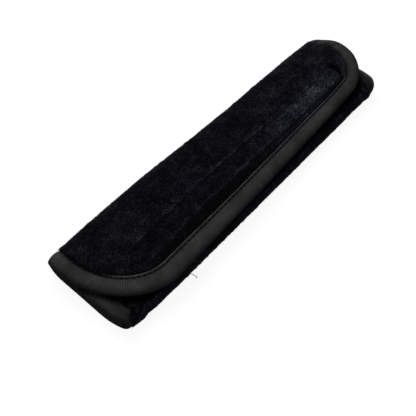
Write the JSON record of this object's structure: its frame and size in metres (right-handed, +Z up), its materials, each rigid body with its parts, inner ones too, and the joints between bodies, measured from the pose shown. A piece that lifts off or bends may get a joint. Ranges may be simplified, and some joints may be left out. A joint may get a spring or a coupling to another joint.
{
  "type": "seat belt shoulder pad",
  "caption": "Soft plush pad for a seat belt, folded in three over a flat belt channel, with tape-bound edges and a hook and loop closure under its top flap.",
  "frame": {"origin": "on the surface the pad lies on, under the middle of its box", "axes": "+X along the pad, towards the end whose flap tip stands up; -Y towards the open front edge of the top flap; +Z up"},
  "size_m": [0.243, 0.065, 0.0207],
  "materials": {
    "plush": "short dense black pile, velvety, slightly brushed",
    "foam": "dark grey sheet padding",
    "lining": "black brushed knit",
    "binding": "black ribbed tape with a row of stitches along its inner edge",
    "hook_tape": "black hook tape",
    "loop_tape": "black loop tape"
  },
  "bodies": {
    "root": {"plush_cover": "plush", "foam_core": "foam", "inner_lining": "lining", "edge_binding": "binding", "hook_strip": "hook_tape", "loop_strip": "loop_tape"}
  },
  "joints": []
}
